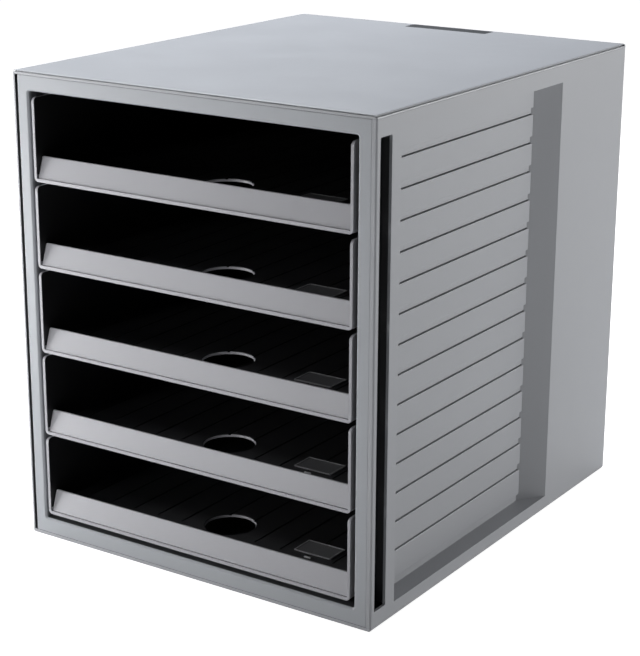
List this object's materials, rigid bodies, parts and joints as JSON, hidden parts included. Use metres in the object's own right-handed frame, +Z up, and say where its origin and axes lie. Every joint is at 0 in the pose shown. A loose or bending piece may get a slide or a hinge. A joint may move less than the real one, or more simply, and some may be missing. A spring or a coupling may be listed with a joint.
{
  "type": "desktop file drawer",
  "caption": "Desktop letter box: a closed grey casing with slatted sides holds a stack of open trays that slide out to the front.",
  "frame": {"origin": "middle of the flat underside", "axes": "+Z up, the tray mouths face -Y, +X to the viewer's right when looking at the mouths"},
  "size_m": [0.275, 0.33, 0.32],
  "materials": {
    "casing": "satin light grey polystyrene, faint texture",
    "frame": "satin light grey polystyrene",
    "slatted_wall": "satin light grey polystyrene",
    "rail": "satin grey polystyrene",
    "tray": "satin light grey polystyrene"
  },
  "bodies": {
    "casing": {"base_panel": "casing", "top_panel": "casing", "back_panel": "casing", "right_side_panel": "casing", "left_side_panel": "casing", "front_frame": "frame", "right_slatted_wall": "slatted_wall", "left_slatted_wall": "slatted_wall", "right_rail_1": "rail", "left_rail_1": "rail", "right_rail_2": "rail", "left_rail_2": "rail", "right_rail_3": "rail", "left_rail_3": "rail", "right_rail_4": "rail", "left_rail_4": "rail", "right_rail_5": "rail", "left_rail_5": "rail"},
    "tray_1": {"tray_1": "tray"},
    "tray_2": {"tray_2": "tray"},
    "tray_3": {"tray_3": "tray"},
    "tray_4": {"tray_4": "tray"},
    "tray_5": {"tray_5": "tray"}
  },
  "joints": [
    {"name": "tray_1_slide", "type": "slide", "parent": "casing", "child": "tray_1", "axis": [0, -1, 0], "range_m": [0, 0.24]},
    {"name": "tray_2_slide", "type": "slide", "parent": "casing", "child": "tray_2", "axis": [0, -1, 0], "range_m": [0, 0.24]},
    {"name": "tray_3_slide", "type": "slide", "parent": "casing", "child": "tray_3", "axis": [0, -1, 0], "range_m": [0, 0.24]},
    {"name": "tray_4_slide", "type": "slide", "parent": "casing", "child": "tray_4", "axis": [0, -1, 0], "range_m": [0, 0.24]},
    {"name": "tray_5_slide", "type": "slide", "parent": "casing", "child": "tray_5", "axis": [0, -1, 0], "range_m": [0, 0.24]}
  ]
}
